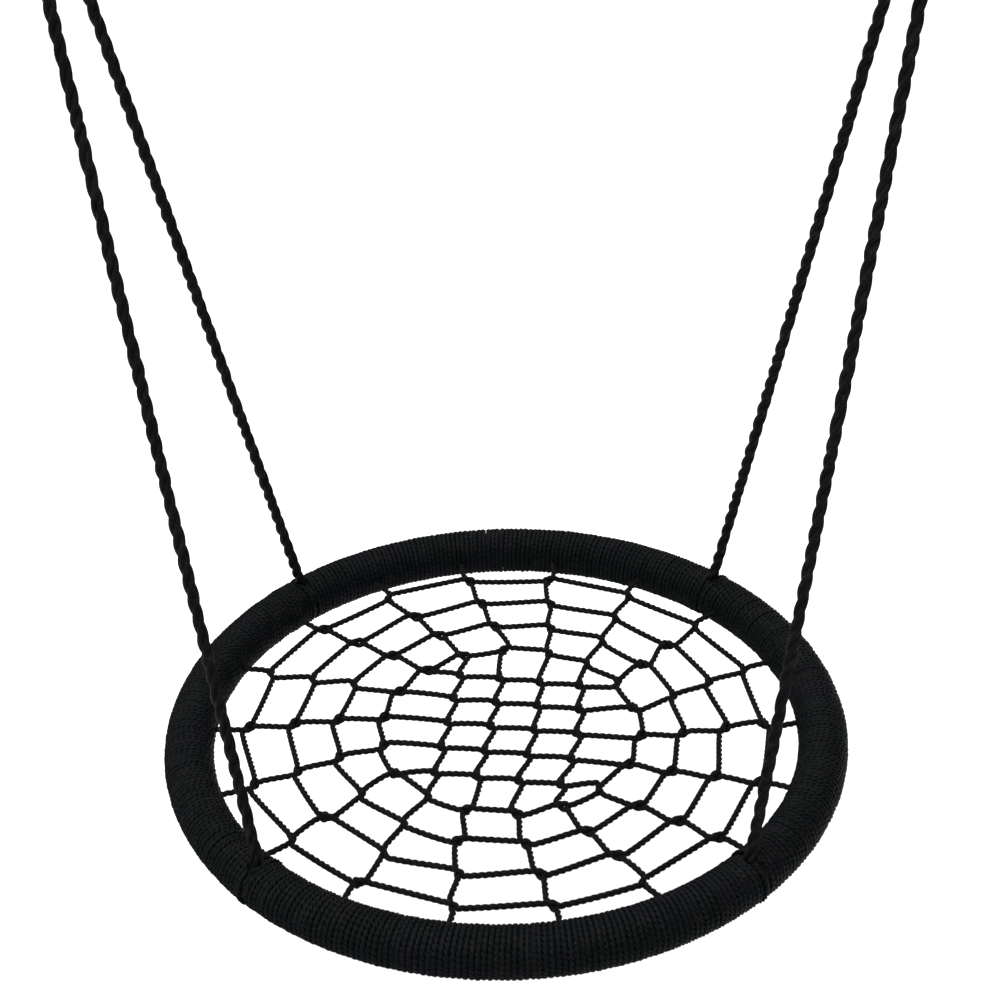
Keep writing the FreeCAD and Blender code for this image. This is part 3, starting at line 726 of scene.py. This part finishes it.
def rope_eye(tag, side, end):
    """The rope's bight round its thimble, closed into the splice."""
    centre, down, width = eye_frame(tag, side, end)
    leg = HANGING_ROPE + LEG_GAP
    reach = math.hypot(EYE_DEPTH, leg)
    rise = math.asin(EYE_BEND / reach) - math.atan2(leg, EYE_DEPTH)
    arc = np.linspace(-rise, math.pi + rise, 60)
    bend = [(EYE_BEND * math.cos(angle), EYE_BEND * math.sin(angle)) for angle in arc]
    legs_end = -EYE_DEPTH - 0.02
    flat_path = [(leg * 0.85, legs_end), (leg, -EYE_DEPTH)] + bend \
        + [(-leg, -EYE_DEPTH), (-leg * 0.85, legs_end)]
    path = evenly(np.array([centre + x * width - z * down for x, z in flat_path]), 0.002)
    tube = laid_rope(path, HANGING_ROPE * EYE_FULLNESS, ROPE_LAY, hint=np.cross(width, down),
                     **HANGING_STRANDS)
    piece = skin(f"eye_bight_{tag}", [tube])
    return finish_piece(piece, HANGING_FINISH, "black_hanging_rope", "seat", f"rope_eye_{tag}")


def splice(tag, side, end):
    """The tapered splice: the rope's strands with three tucked strands that thin out."""
    centre, down, width = eye_frame(tag, side, end)
    start = centre + down * (EYE_DEPTH + LEG_GAP)
    share = np.linspace(0, 1, 60)
    path = start + (share * SPLICE_LENGTH)[:, None] * down
    taper = (1 - share) ** 0.8
    wide = SPLICE_SLIM + SPLICE_SWELL[0] * taper
    thick = SPLICE_SLIM + SPLICE_SWELL[1] * taper
    other = np.cross(down, width)
    around = 72
    angle = np.arange(around) / around * 2 * math.pi
    twist = 2 * math.pi * share * SPLICE_LENGTH / ROPE_LAY
    strands = 0.93 + 0.07 * np.abs(np.cos(1.5 * (angle[None, :] + twist[:, None])))
    tucks = 0.085 * np.abs(np.sin(1.5 * (angle[None, :] - twist[:, None] * 1.6))) * taper[:, None]
    yarns = 0.012 * np.cos(24 * (angle[None, :] - 0.4 * twist[:, None]))
    shape = strands + tucks + yarns
    rings = path[:, None, :] \
        + (wide[:, None] * shape * np.cos(angle)[None, :])[..., None] * width \
        + (thick[:, None] * shape * np.sin(angle)[None, :])[..., None] * other
    piece = skin(f"splice_body_{tag}", [(rings, run_lengths(path))])
    finish_piece(piece, HANGING_FINISH, "black_hanging_rope", "seat", f"splice_{tag}")
    bands = [twine_band(start, down, width, 0.007, 0.016, 0.0162, 0.0114),
             twine_band(start, down, width, SPLICE_LENGTH - 0.011, 0.018, 0.0092, 0.0090)]
    whipping = skin(f"splice_whipping_{tag}", bands)
    finish_piece(whipping, TWINE_FINISH, "black_hanging_rope", "seat")
    return piece, whipping


for end_name, end in ENDS:
    for side_name, side in SIDES:
        tag = f"{end_name}_{side_name}"
        rope, rope_path = hanging_rope(tag, side, end)
        loop = rope_loop(tag, side, end)
        eye = rope_eye(tag, side, end)
        body, whipping = splice(tag, side, end)

# ---------------------------------------------------------------- wound rim

STATIONS = (("back", 45), ("left", 135), ("front", 225), ("right", 315))
SECTOR_GAP = 0.42
TURNS_PER_SECTOR = 96
POINTS_PER_TURN = 84
FIRST_TURN_ANGLE = 1.1
# Each turn lies a little off its place, and the rope's ends are tucked into the padding.
TURN_SLIP, TURN_RISE = 0.0005, 0.00032
TUCK_TURNS, TUCK_DEPTH = 0.18, 0.0028
# The turns next to a rope loop climb over it, and part a little where the rope comes out.
LOOP_COVER = 0.0090
PARTING, PARTING_REACH, PARTING_ANGLE = 0.0062, 0.018, 0.42


def winding(name, station, seed):
    """Close turns of twisted rope over the padding, from one rope loop to the next."""
    draw = random.Random(seed)
    count = TURNS_PER_SECTOR * POINTS_PER_TURN
    share = np.linspace(0, 1, count + 1)
    turn_number = share * TURNS_PER_SECTOR
    knots = np.arange(TURNS_PER_SECTOR + 3)
    slip = np.array([draw.gauss(0, TURN_SLIP) for _ in knots])
    rise = np.array([draw.gauss(0, TURN_RISE) for _ in knots])
    sweep = math.radians(90 - 2 * SECTOR_GAP)
    around_rim = math.radians(station + SECTOR_GAP) + sweep * share \
        + np.interp(turn_number, knots, slip) / RIM_RADIUS
    section = 2 * math.pi * turn_number + FIRST_TURN_ANGLE
    from_end = np.minimum(share, 1 - share)
    sink = TUCK_DEPTH * np.clip(1 - from_end * TURNS_PER_SECTOR / TUCK_TURNS, 0, 1) ** 2
    from_loop = RIM_RADIUS * (math.radians(SECTOR_GAP) + sweep * from_end)
    from_top = np.mod(section - math.pi / 2 + math.pi, 2 * math.pi) - math.pi
    near_top = np.exp(-(from_top / PARTING_ANGLE) ** 2)
    apart = PARTING * near_top * np.exp(-from_loop / PARTING_REACH)
    around_rim = around_rim + np.where(share < 0.5, apart, -apart) / RIM_RADIUS
    over_loop = PRESSED_LOOP_RADIUS + np.sqrt(np.maximum(0, LOOP_COVER ** 2 - from_loop ** 2))
    centre_radius = np.maximum(SECTION_RADIUS - WINDING_ROPE, over_loop) \
        + np.interp(turn_number + 0.5, knots, rise) - sink
    outward = np.stack((np.cos(around_rim), np.sin(around_rim), np.zeros(count + 1)), axis=1)
    along_rim = np.stack((-np.sin(around_rim), np.cos(around_rim), np.zeros(count + 1)), axis=1)
    normal = np.cos(section)[:, None] * outward + np.sin(section)[:, None] * UP
    path = outward * RIM_RADIUS + UP * RIM_LEVEL + normal * centre_radius[:, None]
    local_radius = RIM_RADIUS + centre_radius * np.cos(section)
    half_pitch = sweep * local_radius / TURNS_PER_SECTOR / 2
    along = run_lengths(path)
    twist = 2 * math.pi * along / WINDING_LAY + uneven(draw, along, 0.05, 0.5)
    angle, outline, _ = strand_outline(4, strand=0.53)
    turned = angle[None, :] + twist[:, None]
    up_part = WINDING_ROPE * WINDING_FULLNESS * outline[None, :] * np.cos(turned)
    side_part = half_pitch[:, None] * SIDEWAYS_FULLNESS * outline[None, :] * np.sin(turned)
    # The rope heads along +section, so the ring runs from the outward normal to -along_rim.
    rings = path[:, None, :] + up_part[..., None] * normal[:, None, :] \
        - side_part[..., None] * along_rim[:, None, :]
    piece = skin(f"winding_rope_{name}", [(rings, along)])
    return finish_piece(piece, WINDING_FINISH, "black_winding_rope", "seat", f"rim_winding_{name}")


for index, (name, station) in enumerate(STATIONS):
    winding(name, station, 40 + index)

# ---------------------------------------------------------------- net

# Each ring rope's radius, its turn against the rim in degrees, and its shift to the right.
RINGS = ((0.191, -7.6, 0.006), (0.255, -4.6, 0.003), (0.318, -2.0, 0.002), (0.382, -0.5, 0.0))
COLUMNS, ROWS = 4, 5
COLUMN_SPACING, ROW_SPACING, GRID_TURN, NET_SAG = 0.062, 0.058, -9.5, 0.004
# The grid is tied by hand: its right columns bow outward, most at one row, and its left columns
# spread a little from row to row.
GRID_BOW, GRID_BOW_ROW, GRID_SPREAD = 0.010, 2.4, 0.002
HITCHES = 2 * (COLUMNS + ROWS)
STEP = 360 / HITCHES
# At a knot two ropes run side by side for the length of its bar, this far from the bar's middle.
RING_BAR, GRID_BAR = 0.022, 0.017
OVERLAY = 0.0037
GRID_LEAN = 1.28
# Most ring knots lie outward with the ring's turn. About one in five lies the other way.
REVERSED_KNOTS = 0.2


def grid_place(column, row):
    """A crossing of the middle grid. Column 0 is the left one and row 0 the back one."""
    across = (column - (COLUMNS - 1) / 2) * COLUMN_SPACING
    along = ((ROWS - 1) / 2 - row) * ROW_SPACING
    turn = math.radians(GRID_TURN)
    share = column / (COLUMNS - 1)
    drift = GRID_BOW * share * math.cos(math.pi * (row - GRID_BOW_ROW) / (ROWS - 1)) \
        + GRID_SPREAD * (1 - share) * (row - 1)
    return np.array((across * math.cos(turn) - along * math.sin(turn) + RINGS[0][2] + drift,
                     across * math.sin(turn) + along * math.cos(turn), RIM_LEVEL - NET_SAG))


def ring_place(ring, degrees):
    """A knot of one ring rope, on the net line that reaches the rim at that angle."""
    radius, turn, shift = RINGS[ring]
    sag = NET_SAG * (1 - radius / RIM_RADIUS)
    return polar(radius, degrees + turn, RIM_LEVEL - sag) + np.array((shift, 0, 0))


def net_layout():
    """Every net rope as a list of crossings, and where each crossing is."""
    places, lines = {}, {}

    def spoke(degrees):
        degrees = round(degrees) % 360
        keys = [("ring", ring, degrees) for ring in range(len(RINGS))] + [("rim", 0, degrees)]
        for kind, ring, angle in keys[:-1]:
            places[kind, ring, angle] = ring_place(ring, angle)
        places[keys[-1]] = polar(RIM_RADIUS - HITCH_RADIUS - NET_ROPE, degrees, RIM_LEVEL)
        return keys

    for column in range(COLUMNS):
        for row in range(ROWS):
            places["grid", column, row] = grid_place(column, row)
    for column in range(COLUMNS):
        spread = (column - (COLUMNS - 1) / 2) * STEP
        middle = [("grid", column, row) for row in range(ROWS)]
        lines[f"net_column_{column + 1}"] = spoke(90 - spread)[::-1] + middle + spoke(270 + spread)
    for row in range(ROWS):
        spread = ((ROWS - 1) / 2 - row) * STEP
        middle = [("grid", column, row) for column in range(COLUMNS)]
        lines[f"net_row_{row + 1}"] = spoke(180 - spread)[::-1] + middle + spoke(spread)
    angles = sorted({key[2] for key in places if key[0] == "ring"})
    for ring in range(len(RINGS)):
        lines[f"net_ring_{ring + 1}"] = [("ring", ring, angle) for angle in angles]
    return places, lines


def net():
    """Nine net lines and four ring ropes, each twisted half round the other at a crossing."""
    places, lines = net_layout()
    headings = {}
    for name, keys in lines.items():
        for index, key in enumerate(keys):
            if key[0] == "rim":
                continue
            before = places[keys[index - 1]]
            after = places[keys[(index + 1) % len(keys)]]
            headings.setdefault(key, {})[name] = unit(after - before)
    knot_draw = random.Random(23)
    reversed_knots = {
        key for key in places if key[0] == "ring" and knot_draw.random() < REVERSED_KNOTS}
    draw = random.Random(7)
    for name, keys in lines.items():
        closed = "ring" in name
        controls = []
        for key in keys:
            place = places[key]
            if key[0] == "rim":
                controls.append(place)
                continue
            own = headings[key][name]
            other_name = next(other for other in headings[key] if other != name)
            other = headings[key][other_name]
            over = "row" in other_name or "ring" in name
            if key[0] == "grid":
                column_way = own if "column" in name else other
                row_way = other if "column" in name else own
                bar = unit(column_way + GRID_LEAN * row_way)
                half = GRID_BAR / 2
            else:
                outward = unit(place * (1, 1, 0))
                bar = unit(outward + np.cross(UP, outward) * (-1 if key in reversed_knots else 1))
                half = RING_BAR / 2
            sense = 1.0 if bar @ own > 0 else -1.0
            ahead = bar * sense
            across = np.cross(UP, ahead)
            lean = 1.0 if across @ own > 0 else -1.0
            lift = 1.0 if over else -1.0
            half = half * draw.uniform(0.85, 1.15)
            for part in (-1.0, -0.5, 0.0, 0.5, 1.0):
                swing = math.sin(part * math.pi / 2)
                rise = math.cos(part * math.pi / 2)
                controls.append(place + ahead * half * part + across * OVERLAY * lean * swing
                                + UP * OVERLAY * lift * rise)
        path = through(controls, 0.0016, closed)
        if closed:
            path = path[:-1]
        tube = laid_rope(path, NET_ROPE * NET_FULLNESS, NET_LAY, strand=0.53, closed=closed,
                         start_turn=draw.uniform(0, 6))
        piece = skin(name.replace("net_", "net_rope_"), [tube], closed=closed)
        stands_for = [name] + (["net_knots"] if name == "net_ring_1" else [])
        finish_piece(piece, NET_FINISH, "black_net_rope", "seat", *stands_for)
    hitches = []
    for step in range(HITCHES):
        path, along_rim = hoop_turn(step * STEP, HITCH_RADIUS, 48)
        hitches.append(laid_rope(path, NET_ROPE, NET_LAY, per_strand=5, closed=True, hint=along_rim))
    piece = skin("net_hitch_turns", hitches, closed=True)
    finish_piece(piece, NET_FINISH, "black_net_rope", "seat", "net_hitches")


net()

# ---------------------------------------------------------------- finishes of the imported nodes

NODE_FINISHES = (
    ("carabiner", GALVANISED), ("gate_pin", STAINLESS), ("gate_spring", SPRING_STEEL),
    ("gate", GALVANISED), ("hanging_ring", GALVANISED), ("thimble", STAINLESS),
    ("hoop", HOOP_STEEL), ("foam", FOAM))

for node_name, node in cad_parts.items():
    for start, material in NODE_FINISHES:
        if node_name.startswith(start) and not node.hide_render:
            node.data.materials.clear()
            node.data.materials.append(material)
            break

# ---------------------------------------------------------------- floor and light


FLOOR_HALF, FLOOR_DROP = 14.0, 0.42


def floor():
    """A plain pale floor below the rim, clear when seen from underneath."""
    low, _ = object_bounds()
    mesh = bpy.data.meshes.new("floor")
    corners = [(x * FLOOR_HALF, y * FLOOR_HALF, low[2] - FLOOR_DROP)
               for x, y in ((-1, -1), (1, -1), (1, 1), (-1, 1))]
    mesh.from_pydata(corners, [], [(0, 1, 2, 3)])
    ground = bpy.data.objects.new("floor", mesh)
    bpy.context.scene.collection.objects.link(ground)
    material, tree, shader = new_material("floor", Roughness=0.9, Specular_IOR_Level=0.1)
    where = tree.nodes.new("ShaderNodeTexCoord")
    tone = place_group(tree, TONE_DRIFT, Scale=0.6, First=(0.93, 0.93, 0.93, 1),
                       Second=(0.95, 0.95, 0.95, 1), Third=(0.94, 0.94, 0.94, 1))
    tree.links.new(tone.outputs["Color"], shader.inputs["Base Color"])
    blend = tree.nodes.new("ShaderNodeMixShader")
    underneath = tree.nodes.new("ShaderNodeNewGeometry").outputs["Backfacing"]
    tree.links.new(underneath, blend.inputs[0])
    tree.links.new(shader.outputs[0], blend.inputs[1])
    tree.links.new(tree.nodes.new("ShaderNodeBsdfTransparent").outputs[0], blend.inputs[2])
    tree.links.new(blend.outputs[0], tree.nodes["Material Output"].inputs["Surface"])
    mesh.materials.append(material)
    ground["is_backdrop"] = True


def area_light(name, place, target, size, power):
    """A soft square light aimed at a point."""
    data = bpy.data.lights.new(name, "AREA")
    data.size = size
    data.energy = power
    lamp = bpy.data.objects.new(name, data)
    bpy.context.scene.collection.objects.link(lamp)
    lamp.location = place
    lamp.rotation_mode = "QUATERNION"
    lamp.rotation_quaternion = (Vector(target) - Vector(place)).to_track_quat("-Z", "Y")


def lights():
    """Soft light from above and both sides, and a white surround."""
    middle = (0.0, 0.0, RIM_LEVEL)
    sun = bpy.data.lights.new("soft_overhead", "SUN")
    sun.energy = 3.1
    sun.angle = math.radians(100)
    overhead = bpy.data.objects.new("soft_overhead", sun)
    bpy.context.scene.collection.objects.link(overhead)
    overhead.rotation_euler = (math.radians(14), math.radians(-16), 0)
    area_light("key_light", (-1.6, -1.4, 1.9), middle, 1.6, 58)
    area_light("back_light", (0.4, 2.8, 1.2), middle, 2.0, 50)
    world = bpy.data.worlds.new("surround")
    world.use_nodes = True
    tree = world.node_tree
    background = tree.nodes["Background"]
    background.inputs["Color"].default_value = (1.0, 1.0, 1.0, 1)
    seen = tree.nodes.new("ShaderNodeLightPath").outputs["Is Camera Ray"]
    strength = math_node(tree, "ADD", math_node(tree, "MULTIPLY", seen, 0.7), 0.3)
    tree.links.new(strength, background.inputs["Strength"])
    bpy.context.scene.world = world


floor()
lights()
bpy.context.scene.view_settings.view_transform = "Standard"
